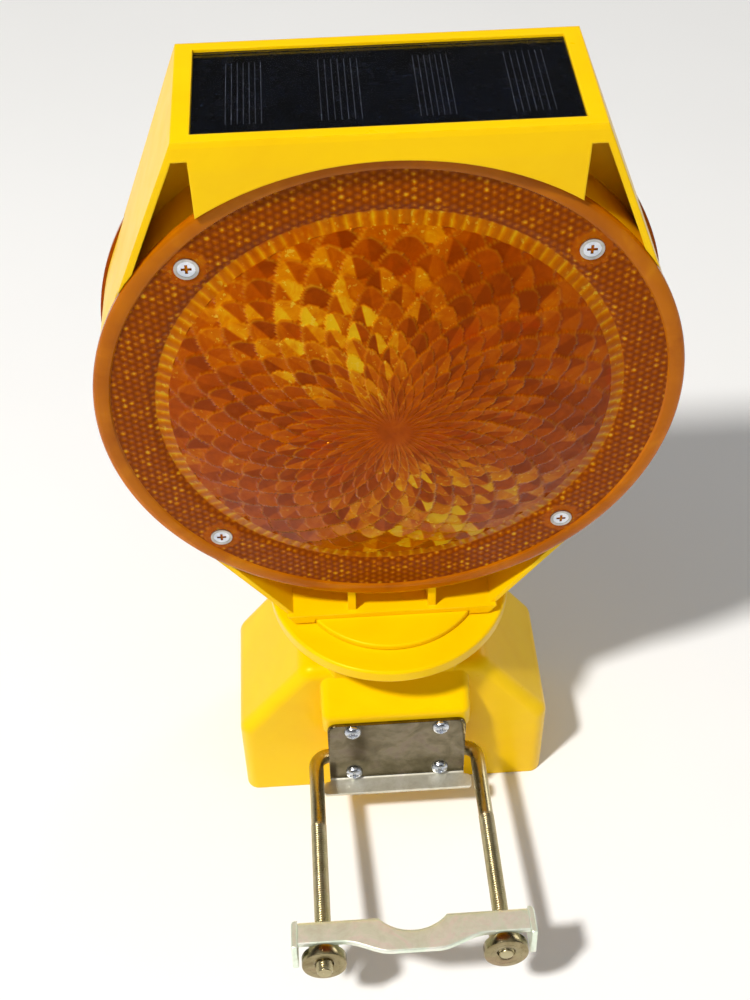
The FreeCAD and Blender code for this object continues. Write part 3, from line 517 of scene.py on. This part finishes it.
def smooth_front(radius):
    """Front of the lens before its pattern: dome, step, flat band and rim bead."""
    if radius <= DOME_EDGE:
        return dome_y(radius)
    stops = [(DOME_EDGE, DOME_EDGE_Y), (RING_INNER, -20.35), (78.0, -20.95), (89.4, -20.95),
             (90.3, -21.45), (91.4, -21.6), (93.4, -21.55), (94.5, -21.2), (LENS_RADIUS, -20.5)]
    for (r0, y0), (r1, y1) in zip(stops, stops[1:]):
        if radius <= r1:
            return y0 + (y1 - y0) * (radius - r0) / (r1 - r0)
    return stops[-1][1]


def lens_radii():
    """Rings of vertices on the front, close together where the pattern is fine."""
    radii = []
    edge = 0.9
    while edge < SCALES_EDGE:
        radii.append(edge)
        edge += 0.58
    radii += [SCALES_EDGE, 72.4, 73.4, 74.4, 75.4, RING_INNER]
    radii += [76.6 + 0.65 * i for i in range(20)]
    return radii + [RIM_INNER, 90.0, 90.6, 91.4, 92.4, 93.4, 94.1, 94.6, 94.9, LENS_RADIUS]


def build_lens(side):
    """One lens: patterned front and smooth back. The ferrules and screws stand in it."""
    def point(radius, turn, y):
        angle = turn * 2.0 * math.pi
        return Vector((radius * math.cos(angle), side * y, LENS_CENTRE_Z + radius * math.sin(angle))) * MM

    radii = lens_radii()
    turns = [j / SEGMENTS for j in range(SEGMENTS)]
    optic = []
    front = []
    for r in radii:
        marks = [lens_pattern(r, t) for t in turns]
        optic += [mark[1:] for mark in marks]
        front.append([point(r, t, smooth_front(r) - mark[0]) for t, mark in zip(turns, marks)])
    back_profile = [(r, RIM_BACK_Y) for r in (LENS_RADIUS, 84.0, RING_INNER)]
    back_profile += [(r, dome_y(r) + LENS_WALL) for r in (73, 66, 58, 50, 42, 34, 26, 18, 10, 4)]
    back = [[point(r, t, y) for t in turns] for r, y in back_profile]
    front_tip = point(0.0, 0.0, smooth_front(0.0) + 0.5)
    back_tip = point(0.0, 0.0, dome_y(0.0) + LENS_WALL)
    vertices, faces = band(front + back, cap_start=front_tip, cap_end=back_tip)
    name, node = ("front_lens_moulding", "front_lens") if side > 0 else ("rear_lens_moulding", "rear_lens")
    piece = new_piece(name, (vertices, faces), [AMBER, AMBER_RIM], "head", [node], 25.0)
    layer = piece.data.color_attributes.new("optic", "FLOAT_COLOR", "POINT")
    plain_marks = [(0.0, 0.3, 0.0)] * (len(vertices) - len(optic))
    layer.data.foreach_set("color", [v for mark in optic + plain_marks for v in (*mark, 1.0)])
    rim_start, rim_end = radii.index(RIM_INNER) * SEGMENTS, len(front) * SEGMENTS
    for polygon in piece.data.polygons:
        polygon.material_index = 1 if rim_start <= min(polygon.vertices) < rim_end else 0
    return piece


# ---------------------------------------------------------------- clamp
ROD_AROUND = 28
NO_END = 100.0


def thread_radius(s, turn, end):
    """Rod radius with a rolled thread that starts and ends softly."""
    if s < THREAD_START:
        return ROD_RADIUS - 0.15
    tip_fade = min(1.0, max(0.0, (end - s) / 0.8))
    fade = min(1.0, (s - THREAD_START) / 1.5, tip_fade)
    phase = (s / THREAD_PITCH + turn) % 1.0
    crest = 1.0 - abs(2.0 * phase - 1.0)
    shape = min(1.0, max(0.0, (crest - 0.12) / 0.76))
    return ROD_RADIUS - 0.02 - 0.55 * (1.0 - shape) * fade - 0.6 * (1.0 - tip_fade)


def leg_stations(side):
    """Sections from a leg's end back to its bend: ((x, s), direction, place on the leg, leg's end)."""
    end = LEG_ENDS[side]
    step = THREAD_PITCH / 8.0
    places = [end - i * step for i in range(int((end - THREAD_START + 2.0) / step))]
    places += [THREAD_START - 3.0, 26.0, 18.0, 10.0]
    return [((side * LEG_X, s), (0.0, -1.0), s, end) for s in places]


def bend_stations(side, count=9):
    """Sections round the bend from a leg to the crossbar."""
    made = []
    for i in range(count + 1):
        angle = math.pi / 2 * i / count
        x = side * (LEG_X - BEND_RADIUS + BEND_RADIUS * math.cos(angle))
        s = BEND_RADIUS - BEND_RADIUS * math.sin(angle)
        made.append(((x, s), (-side * math.sin(angle), -math.cos(angle)), 0.0, NO_END))
    return made


def build_u_bolt():
    """Bent rod with rolled threads, swept as one skin."""
    stations = leg_stations(-1) + bend_stations(-1)
    stations += [((x, 0.0), (1.0, 0.0), 0.0, NO_END) for x in (-20.0, -10.0, 0.0, 10.0, 20.0)]
    other = leg_stations(1) + bend_stations(1)
    stations += [(place, (-tx, -ts), along, end) for place, (tx, ts), along, end in reversed(other)]
    rings = []
    for (x, s), (tx, ts), along, end in stations:
        ring = []
        for j in range(ROD_AROUND):
            turn = j / ROD_AROUND
            radius = thread_radius(along, turn, end)
            across, up = math.cos(turn * 2 * math.pi) * radius, math.sin(turn * 2 * math.pi) * radius
            ring.append(from_legs(x + ts * across, s - tx * across, up))
        rings.append(ring)
    tips = [from_legs(side * LEG_X, LEG_ENDS[side], 0.0) for side in (-1, 1)]
    data = band(rings, cap_start=tips[0], cap_end=tips[1])
    return new_piece("u_bolt_rod", data, [YELLOW_ZINC], "u_bolt", ["u_bolt"], 50.0)


SADDLE_BACK = 81.1
SHEET = 2.2
SEAT_RADIUS = 16.0
SEAT_HALF_CHORD = 12.25
SHEET_END = 41.2
SADDLE_TOP = 8.0
SADDLE_FOOT = -5.0
SADDLE_FRONT = 90.8
BULGE_FRONT = 95.9
OUTER_BEND = 2.6
TAB_MIDDLE = (42.4, 86.5)


def flange_front(x):
    """Front edge of the flange: straight beside the nuts, bulging ahead of the seat."""
    fall = min(1.0, max(0.0, (abs(x) - 8.0) / 18.0))
    return SADDLE_FRONT + (BULGE_FRONT - SADDLE_FRONT) * (0.5 + 0.5 * math.cos(math.pi * fall))


def saddle_path(flat_steps=12, seat_steps=24):
    """Back face of the saddle from left to right: (x, s, flange depth)."""
    centre_s = SADDLE_BACK - math.sqrt(SEAT_RADIUS ** 2 - SEAT_HALF_CHORD ** 2)
    half = math.asin(SEAT_HALF_CHORD / SEAT_RADIUS)
    reach = SHEET_END - SEAT_HALF_CHORD - 0.4
    flat = [(i * reach / flat_steps - SHEET_END, SADDLE_BACK) for i in range(flat_steps + 1)]
    seat = []
    for i in range(seat_steps + 1):
        angle = -half + 2 * half * i / seat_steps
        seat.append((SEAT_RADIUS * math.sin(angle), centre_s + SEAT_RADIUS * math.cos(angle)))
    places = flat + seat + [(-x, s) for x, s in reversed(flat)]
    return [(x, s, flange_front(x) - s) for x, s in places]


def saddle_section(depth):
    """L-shaped section with rounded bends: (distance forward from the back face, height)."""
    top, foot, t = SADDLE_TOP, SADDLE_FOOT, SHEET
    outline = [(0.3, foot), (t - 0.3, foot), (t, foot + 0.3), (t, top - t - 0.9), (t + 0.25, top - t - 0.3),
               (t + 0.9, top - t), (depth - 0.3, top - t), (depth, top - t + 0.3), (depth, top - 0.35),
               (depth - 0.35, top)]
    for i in range(7):
        angle = math.pi / 2 * i / 6
        outline.append((OUTER_BEND - OUTER_BEND * math.sin(angle),
                        top - OUTER_BEND + OUTER_BEND * math.cos(angle)))
    return outline + [(0.0, foot + 0.3)]


def saddle_tab(side, start):
    """Returned tab at one end: its vertices, and its faces counted from start."""
    back, ahead = SADDLE_BACK, SADDLE_FRONT + 1.2
    profile = [(41.3, back), (41.9, back), (42.6, back + 0.15), (43.1, back + 0.5), (43.4, back + 1.1),
               (43.5, back + 1.9), (43.5, ahead - 0.3), (43.2, ahead), (41.6, ahead), (41.3, ahead - 0.3)]
    levels = [(SADDLE_FOOT, 0.25), (SADDLE_FOOT + 0.25, 0.0), (SADDLE_TOP - 0.3, 0.0), (SADDLE_TOP, 0.3)]
    middle_x, middle_s = TAB_MIDDLE
    vertices, faces = [], []
    for h, inset in levels:
        for x, s in profile:
            px = x + (inset if x < middle_x else -inset)
            ps = s + (inset if s < middle_s else -inset)
            vertices.append(from_legs(side * px, ps, h))
    n = len(profile)
    for low in range(start, start + (len(levels) - 1) * n, n):
        for j in range(n):
            k = (j + 1) % n
            faces.append((low + j, low + k, low + n + k, low + n + j))
    last = start + (len(levels) - 1) * n
    faces += [tuple(reversed(range(start, start + n))), tuple(range(last, last + n))]
    return vertices, faces


def build_saddle():
    """Pressed saddle with a round seat, and a returned tab at each end."""
    rings = [[from_legs(x, s + n, h) for n, h in saddle_section(depth)] for x, s, depth in saddle_path()]
    vertices, faces = band(rings)
    count = len(rings[0])
    faces.append(tuple(range(count)))
    faces.append(tuple(reversed(range((len(rings) - 1) * count, len(rings) * count))))
    for side in (-1, 1):
        tab_vertices, tab_faces = saddle_tab(side, len(vertices))
        vertices += tab_vertices
        faces += tab_faces
    return new_piece("saddle_pressing", (vertices, faces), [SADDLE_ZINC], "saddle",
                     ["clamp_saddle"], 35.0)


def build_nut(side):
    """Round security nut: chamfered disc with a plain collar behind, bored for the rod."""
    bore, collar, disc, count = 3.12, 5.4, 8.0, 96
    start, disc_back, disc_front = 83.4, 91.05, 95.2
    profile = [(bore, start), (5.2, start), (collar, 83.6), (collar, disc_back), (7.5, disc_back),
               (7.85, 91.2), (disc, 91.5), (disc, 94.6), (7.88, 94.95), (7.6, 95.15), (7.2, disc_front),
               (5.6, disc_front), (5.5, 95.12), (5.4, disc_front), (4.2, disc_front), (3.7, 95.0),
               (bore, 94.5)]
    rings = []
    for radius, s in profile:
        rings.append([from_legs(side * LEG_X + radius * math.cos(2 * math.pi * j / count), s,
                                radius * math.sin(2 * math.pi * j / count)) for j in range(count)])
    where = "left" if side < 0 else "right"
    return new_piece("nut_" + where + "_turned", loop_band(rings), [NUT_ZINC], "nut_" + where,
                     ["clamp_nut_" + where], 30.0)


# ---------------------------------------------------------------- bracket
PLATE_FRONT, PLATE_TOP, PLATE_HALF, PLATE_CORNER = -42.0, 59.6, 27.0, 3.5
FLANGE_Z, FOLD_RADIUS, BRACKET_SHEET = 24.1, 1.2, 1.5
HEAD_RADIUS, HEAD_RISE, HEAD_AROUND = 3.4, 2.35, 64
HEAD_X, HEAD_Z = 17.2, (27.8, 55.9)
SLOT_HALF, SLOT_REACH, RECESS_DEPTH = 0.62, 1.9, 1.25


def bracket_rows():
    """Front face of the sheet from its top to the flange's edge: (y, z, half width)."""
    rows = []
    for i in range(9):
        angle = math.pi / 2 * i / 8
        rows.append((PLATE_FRONT, PLATE_TOP - PLATE_CORNER + PLATE_CORNER * math.cos(angle),
                     PLATE_HALF - PLATE_CORNER + PLATE_CORNER * math.sin(angle)))
    rows += [(PLATE_FRONT, z, PLATE_HALF) for z in (50.0, 42.0, 34.0, 28.0)]
    for i in range(7):
        angle = math.pi / 2 * i / 6
        rows.append((PLATE_FRONT - FOLD_RADIUS + FOLD_RADIUS * math.cos(angle),
                     FLANGE_Z + FOLD_RADIUS - FOLD_RADIUS * math.sin(angle), PLATE_HALF))
    rows += [(y, FLANGE_Z, half) for y, half in
             ((-43.5, 27.2), (-43.8, 28.6), (-44.3, 29.3), (-44.9, 29.6), (-46.5, 29.6), (-48.4, 29.6),
              (-49.0, 29.35), (-49.35, 28.9), (-49.5, 28.2))]
    return rows


def build_bracket(across=24):
    """Folded sheet: plate with rounded top corners, a tight bend and a wider flange."""
    outer = [[Vector((half * (2.0 * j / across - 1.0), y, z)) * MM for j in range(across + 1)]
             for y, z, half in bracket_rows()]
    mesh = bmesh.new()
    vertices, faces = band(outer, closed_u=False)
    placed = [mesh.verts.new(v) for v in vertices]
    for face in faces:
        mesh.faces.new([placed[i] for i in face])
    bmesh.ops.remove_doubles(mesh, verts=mesh.verts, dist=1e-6)
    bmesh.ops.recalc_face_normals(mesh, faces=mesh.faces)
    mesh.normal_update()
    if sum(face.normal.y * face.calc_area() for face in mesh.faces) > 0:
        bmesh.ops.reverse_faces(mesh, faces=mesh.faces)
    piece = new_piece("bracket_folded", mesh, [BRACKET_ZINC_PAINTED_DARK, FLANGE_ZINC_PAINTED_LIT], "base",
                      ["mounting_bracket"], 35.0)
    # Lit and shaded copies of one zinc: the plate's faces get the darkened copy (painted dark reflection),
    # and the flange's faces get the lightened copy (painted light).
    for polygon in piece.data.polygons:
        polygon.material_index = 1 if polygon.center.z < (FLANGE_Z + 0.25 * FOLD_RADIUS) * MM else 0
    add_modifier(piece, "SOLIDIFY", thickness=BRACKET_SHEET * MM, offset=-1.0, use_even_offset=True)
    add_modifier(piece, "BEVEL", width=0.22 * MM, segments=2, limit_method="ANGLE",
                 angle_limit=math.radians(50))
    return piece


def pan_head_ring(x, z, r, crown_power=2.6):
    """One ring of a domed head, with the cross recess pressed in."""
    crown = HEAD_RISE * math.sqrt(max(0.0, 1.0 - (r / HEAD_RADIUS) ** crown_power))
    ring = []
    for j in range(HEAD_AROUND):
        angle = 2.0 * math.pi * j / HEAD_AROUND
        across, up = r * math.cos(angle), r * math.sin(angle)
        wall = min(1.0, max(0.0, (SLOT_HALF - min(abs(across), abs(up))) / 0.25))
        end = min(1.0, max(0.0, (SLOT_REACH - max(abs(across), abs(up))) / 0.5))
        ring.append(Vector((x + across, PLATE_FRONT - crown + RECESS_DEPTH * wall * end, z + up)) * MM)
    return ring


def build_pan_heads():
    """Domed cross-head screws through the bracket."""
    radii = [0.25 + 0.2 * i for i in range(13)] + [2.8, 3.0, 3.15, 3.28, 3.36, HEAD_RADIUS]
    vertices, faces = [], []
    for x, z in [(side * HEAD_X, z) for side in (-1, 1) for z in HEAD_Z]:
        rings = [pan_head_ring(x, z, r) for r in radii]
        tip = Vector((x, PLATE_FRONT - HEAD_RISE + RECESS_DEPTH, z)) * MM
        foot = Vector((x, PLATE_FRONT, z)) * MM
        head_vertices, head_faces = band(rings, cap_start=tip, cap_end=foot)
        faces += [tuple(i + len(vertices) for i in face) for face in head_faces]
        vertices += head_vertices
    return new_piece("bracket_pan_heads", (vertices, faces), [SCREW_ZINC], "base",
                     ["bracket_screws"], 32.0)


# ---------------------------------------------------------------- solar panel
LAMINATE_SUNK, LINE_SUNK, LINE_FOOT, LINE_RISE = 0.06 * MM, 0.05 * MM, 0.06 * MM, 0.04 * MM
LINE_HALF_WIDTH, LINE_HALF_LENGTH = 0.13 * MM, 16.0 * MM
LINES_PER_GROUP = 7
LINE_GROUPS = ((-44.7, -34.7), (-18.2, -7.0), (9.2, 19.0), (35.6, 46.7))


def add_silver_line(mesh, x, z):
    """A flat bar of printed silver along Y, with its foot in the laminate."""
    corners = [(x - LINE_HALF_WIDTH, -LINE_HALF_LENGTH), (x + LINE_HALF_WIDTH, -LINE_HALF_LENGTH),
               (x + LINE_HALF_WIDTH, LINE_HALF_LENGTH), (x - LINE_HALF_WIDTH, LINE_HALF_LENGTH)]
    foot = [mesh.verts.new((cx, cy, z - LINE_FOOT)) for cx, cy in corners]
    head = [mesh.verts.new((cx, cy, z + LINE_RISE)) for cx, cy in corners]
    bar = [mesh.faces.new((foot[a], foot[(a + 1) % 4], head[(a + 1) % 4], head[a])) for a in range(4)]
    bar += [mesh.faces.new(head), mesh.faces.new(list(reversed(foot)))]
    for face in bar:
        face.material_index = 1


def build_cells():
    """Laminate with the printed silver lines standing on it."""
    low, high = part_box("solar_cells")
    mesh = bmesh.new()
    made = bmesh.ops.create_grid(mesh, x_segments=8, y_segments=4, size=0.5)
    for vert in made["verts"]:
        x = low.x + (vert.co.x + 0.5) * (high.x - low.x)
        y = low.y + (vert.co.y + 0.5) * (high.y - low.y)
        vert.co = Vector((x, y, high.z - LAMINATE_SUNK))
    solid = bmesh.ops.extrude_face_region(mesh, geom=list(mesh.faces))
    for vert in [v for v in solid["geom"] if isinstance(v, bmesh.types.BMVert)]:
        vert.co.z = low.z
    bmesh.ops.recalc_face_normals(mesh, faces=mesh.faces)
    for start, end in LINE_GROUPS:
        for i in range(LINES_PER_GROUP):
            x = start + (end - start) * i / (LINES_PER_GROUP - 1)
            add_silver_line(mesh, x * MM, high.z - LINE_SUNK)
    return new_piece("solar_laminate_cells", mesh, [SOLAR, FINGERS], "head",
                     ["solar_cells"], 30.0)


# ---------------------------------------------------------------- stage, light and camera
FLOOR_HALF, FLOOR_GAP = 30.0, 0.0002
AIM = (0.0, -0.02, 0.15)
# Height in the sky, from 0 at the horizon to 1 overhead, and its tone: a dark belt keeps the panel black
SKY = ((0.0, 0.85), (0.30, 0.85), (0.40, 0.05), (0.66, 0.05), (0.80, 0.80), (1.0, 1.0))
SKY_STRENGTH = 0.5


def build_floor():
    """Plain pale floor."""
    mesh = bpy.data.meshes.new("floor")
    corners = [(-1, -1), (1, -1), (1, 1), (-1, 1)]
    mesh.from_pydata([(FLOOR_HALF * x, FLOOR_HALF * y, 0) for x, y in corners], [], [(0, 1, 2, 3)])
    floor = bpy.data.objects.new("floor", mesh)
    floor.location.z = cad_low.z - FLOOR_GAP
    bpy.context.scene.collection.objects.link(floor)
    g = Graph("floor_pale")
    tone = g.ramp(g.noise(3.0, 3.0), [(0.3, (0.90, 0.90, 0.89)), (0.7, (0.93, 0.93, 0.92))])
    g.set(Base_Color=tone, Roughness=g.span(g.noise(60.0), 0.6, 0.75))
    mesh.materials.append(g.material)


def add_area(name, location, size, power, colour=(1.0, 1.0, 1.0)):
    """A round soft light that faces the object."""
    light = bpy.data.lights.new(name, "AREA")
    light.shape = "DISK"
    light.size = size
    light.energy = power
    light.color = colour
    lamp = bpy.data.objects.new(name, light)
    lamp.location = location
    lamp.rotation_mode = "QUATERNION"
    lamp.rotation_quaternion = (Vector(AIM) - Vector(location)).to_track_quat("-Z", "Y")
    bpy.context.scene.collection.objects.link(lamp)


def build_sky():
    """Grey sky graded by height."""
    world = bpy.data.worlds.new("studio")
    bpy.context.scene.world = world
    world.use_nodes = True
    tree = world.node_tree
    split = tree.nodes.new("ShaderNodeSeparateXYZ")
    ramp = tree.nodes.new("ShaderNodeValToRGB")
    tree.links.new(tree.nodes.new("ShaderNodeTexCoord").outputs["Generated"], split.inputs[0])
    tree.links.new(split.outputs["Z"], ramp.inputs["Fac"])
    elements = ramp.color_ramp.elements
    for place, tone in SKY[1:-1]:
        elements.new(place).color = (tone, tone, tone, 1)
    for element, (_, tone) in ((elements[0], SKY[0]), (elements[-1], SKY[-1])):
        element.color = (tone, tone, tone, 1)
    background = tree.nodes["Background"]
    tree.links.new(ramp.outputs["Color"], background.inputs["Color"])
    background.inputs["Strength"].default_value = SKY_STRENGTH


def build_lights():
    """Key light high on the left in front, weak fill on the right, and a light behind."""
    add_area("key_light", (-0.95, -0.85, 2.05), 0.20, 55.0, (1.0, 0.98, 0.95))
    add_area("fill_light", (1.8, -1.0, 1.0), 1.4, 2.5, (0.97, 0.98, 1.0))
    add_area("back_light", (1.9, 1.5, 0.9), 1.0, 8.0)
    build_sky()


def build_camera():
    """The photograph's viewpoint: high in front, looking down."""
    azimuth, elevation, roll = math.radians(2.9), math.radians(46.7), math.radians(-1.06)
    data = bpy.data.cameras.new("camera")
    data.sensor_width = 36.0
    data.lens = 52.93
    data.clip_start = 0.01
    camera = bpy.data.objects.new("camera", data)
    forward = Vector((math.sin(azimuth) * math.cos(elevation), math.cos(azimuth) * math.cos(elevation),
                      -math.sin(elevation)))
    right = Vector((math.cos(azimuth), -math.sin(azimuth), 0.0))
    up = right.cross(forward)
    turned_right = right * math.cos(roll) + up * math.sin(roll)
    turned_up = up * math.cos(roll) - right * math.sin(roll)
    axes = Matrix((turned_right, turned_up, -forward)).transposed()
    camera.matrix_world = Matrix.Translation((-0.0234, -0.3685, 0.5334)) @ axes.to_4x4()
    bpy.context.scene.collection.objects.link(camera)
    bpy.context.scene.camera = camera


finish_cad_nodes()
for side in (1, -1):
    build_lens(side)
build_u_bolt()
build_saddle()
for side in (-1, 1):
    build_nut(side)
build_bracket()
build_pan_heads()
build_cells()
build_floor()
build_lights()
build_camera()
bpy.context.scene.view_settings.view_transform = "Standard"
